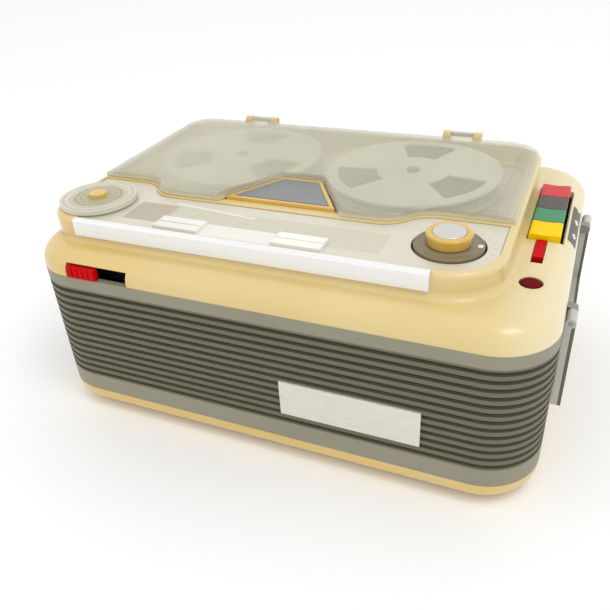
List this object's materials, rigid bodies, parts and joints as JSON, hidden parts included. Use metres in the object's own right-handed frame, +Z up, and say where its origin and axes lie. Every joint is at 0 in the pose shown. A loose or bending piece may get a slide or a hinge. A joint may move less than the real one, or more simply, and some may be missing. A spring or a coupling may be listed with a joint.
{
  "type": "reel-to-reel tape recorder",
  "caption": "Portable reel-to-reel tape recorder with a ribbed waist, milky lid over two reels, coloured piano keys, rotary controls and a folding handle.",
  "frame": {"origin": "on the floor under the middle of the case", "axes": "+X to the right along the width, +Y to the back, +Z up"},
  "size_m": [0.2906, 0.201, 0.1244],
  "materials": {
    "cream_plastic": "satin moulded plastic",
    "waist_plastic": "matt moulded plastic, ribbed",
    "rubber": "matt",
    "steel": "plain",
    "bright_trim": "polished",
    "panel_metal": "brushed and printed",
    "badge_metal": "satin, bare",
    "handle_plastic": "satin",
    "handle_grip": "grained",
    "lid_clear": "milky clear",
    "ivory_plastic": "satin",
    "gold_plastic": "glossy",
    "plate_grey": "satin, bare",
    "dial_clear": "smoky clear",
    "black_plastic": "matt",
    "control_metal": "plain",
    "ring_plastic": "satin",
    "knob_metal": "spun",
    "red_plastic": "glossy",
    "grey_plastic": "glossy",
    "green_plastic": "glossy",
    "yellow_plastic": "glossy",
    "label_plastic": "satin",
    "bright_red_plastic": "glossy",
    "dark_red_plastic": "glossy",
    "chassis_paint": "satin",
    "machine_grey": "satin",
    "brass": "plain",
    "table_plastic": "satin",
    "reel_plastic": "satin",
    "tape": "wound tape",
    "board": "laminate",
    "board_parts": "mixed",
    "iron": "varnished",
    "speaker_metal": "satin"
  },
  "bodies": {
    "case": {"base_tray": "cream_plastic", "cabinet_band": "waist_plastic", "top_shell": "cream_plastic", "rubber_feet": "rubber", "case_screws": "steel", "badge_plate": "badge_metal", "handle_pins": "steel", "handle_brackets": "steel", "lid_hinge_pins": "steel", "deck_panel": "panel_metal", "front_trim": "bright_trim", "legend_bars": "ivory_plastic", "head_cover": "gold_plastic", "head_cover_plate": "plate_grey", "dial_control": "black_plastic", "control_cup": "black_plastic", "volume_control": "control_metal", "key_shaft": "steel", "key_brackets": "steel", "key_label": "label_plastic", "power_switch": "black_plastic", "chassis_plate": "chassis_paint", "chassis_screws": "steel", "motor": "machine_grey", "drive_belt": "rubber", "thrust_bracket": "steel", "shaft_bearings": "brass", "record_head": "control_metal", "erase_head": "control_metal", "tape_guides": "steel", "loudspeaker": "speaker_metal", "circuit_board": "board", "board_parts": "board_parts", "transformer": "iron", "socket_plate": "black_plastic"},
    "handle": {"handle_frame": "handle_plastic", "handle_cover": "handle_grip"},
    "lid": {"lid": "lid_clear"},
    "dial": {"dial_disc": "dial_clear", "dial_cap": "gold_plastic"},
    "volume": {"volume_knob": "gold_plastic", "volume_cap": "knob_metal", "volume_shaft": "steel"},
    "tone": {"tone_ring": "ring_plastic"},
    "record_key": {"record_key": "red_plastic"},
    "stop_key": {"stop_key": "grey_plastic"},
    "play_key": {"play_key": "green_plastic"},
    "rewind_key": {"rewind_key": "yellow_plastic"},
    "record_lock": {"record_lock": "bright_red_plastic"},
    "record_button": {"record_button": "dark_red_plastic"},
    "power_slide": {"power_slide": "bright_red_plastic"},
    "supply": {"supply_turntable": "table_plastic", "supply_reel": "reel_plastic"},
    "take_up": {"take_up_turntable": "table_plastic", "take_up_reel": "reel_plastic", "tape_pack": "tape"},
    "flywheel": {"flywheel": "steel"},
    "motor_rotor": {"motor_pulley": "brass"},
    "pinch_arm": {"pinch_arm": "steel"},
    "pinch_roller": {"pinch_roller": "rubber"}
  },
  "joints": [
    {"name": "lid_hinge", "type": "hinge", "parent": "case", "child": "lid", "pos_m": [-0.0115, 0.094, 0.1195], "axis": [-1, 0, 0], "range_deg": [0, 105]},
    {"name": "handle_hinge", "type": "hinge", "parent": "case", "child": "handle", "pos_m": [0.1428, 0, 0.0875], "axis": [0, -1, 0], "range_deg": [0, 95]},
    {"name": "dial_turn", "type": "hinge", "parent": "case", "child": "dial", "pos_m": [-0.114, -0.0565, 0.118], "axis": [0, 0, 1], "range_deg": [-140, 140]},
    {"name": "volume_turn", "type": "hinge", "parent": "case", "child": "volume", "pos_m": [0.0845, -0.0535, 0.12], "axis": [0, 0, 1], "range_deg": [-145, 145]},
    {"name": "tone_turn", "type": "hinge", "parent": "case", "child": "tone", "pos_m": [0.0845, -0.0535, 0.116], "axis": [0, 0, 1], "range_deg": [-145, 145]},
    {"name": "record_press", "type": "hinge", "parent": "case", "child": "record_key", "pos_m": [0.107, 0, 0.0955], "axis": [0, 1, 0], "range_deg": [0, 8], "stiffness_Nm_per_rad": 0.6},
    {"name": "stop_press", "type": "hinge", "parent": "case", "child": "stop_key", "pos_m": [0.107, 0, 0.0955], "axis": [0, 1, 0], "range_deg": [0, 8], "stiffness_Nm_per_rad": 0.6},
    {"name": "play_press", "type": "hinge", "parent": "case", "child": "play_key", "pos_m": [0.107, 0, 0.0955], "axis": [0, 1, 0], "range_deg": [0, 8], "stiffness_Nm_per_rad": 0.6},
    {"name": "rewind_press", "type": "hinge", "parent": "case", "child": "rewind_key", "pos_m": [0.107, 0, 0.0955], "axis": [0, 1, 0], "range_deg": [0, 8], "stiffness_Nm_per_rad": 0.6},
    {"name": "lock_slide", "type": "slide", "parent": "case", "child": "record_lock", "axis": [0, -1, 0], "range_m": [0, 0.0045]},
    {"name": "button_press", "type": "slide", "parent": "case", "child": "record_button", "axis": [0, 0, -1], "range_m": [0, 0.0025], "stiffness_N_per_m": 800},
    {"name": "power_travel", "type": "slide", "parent": "case", "child": "power_slide", "axis": [1, 0, 0], "range_m": [0, 0.018]},
    {"name": "supply_spin", "type": "hinge", "parent": "case", "child": "supply", "pos_m": [-0.0675, 0.032, 0.1105], "axis": [0, 0, 1], "continuous": true},
    {"name": "take_up_spin", "type": "hinge", "parent": "case", "child": "take_up", "pos_m": [0.0445, 0.032, 0.1105], "axis": [0, 0, 1], "continuous": true},
    {"name": "flywheel_spin", "type": "hinge", "parent": "case", "child": "flywheel", "pos_m": [0.0015, -0.0177, 0.0925], "axis": [0, 0, 1], "continuous": true},
    {"name": "motor_spin", "type": "hinge", "parent": "case", "child": "motor_rotor", "pos_m": [0.075, 0.035, 0.0925], "axis": [0, 0, 1], "continuous": true},
    {"name": "pinch_swing", "type": "hinge", "parent": "case", "child": "pinch_arm", "pos_m": [0.012, -0.0294, 0.1055], "axis": [0, 0, 1], "range_deg": [-12, 0]},
    {"name": "roller_spin", "type": "hinge", "parent": "pinch_arm", "child": "pinch_roller", "pos_m": [0.0015, -0.0273, 0.1095], "axis": [0, 0, 1], "continuous": true}
  ],
  "couplings": [
    {"joint": "motor_spin", "follows": "flywheel_spin", "ratio": 5.8333},
    {"joint": "pinch_swing", "follows": "play_press", "ratio": -1.5}
  ]
}
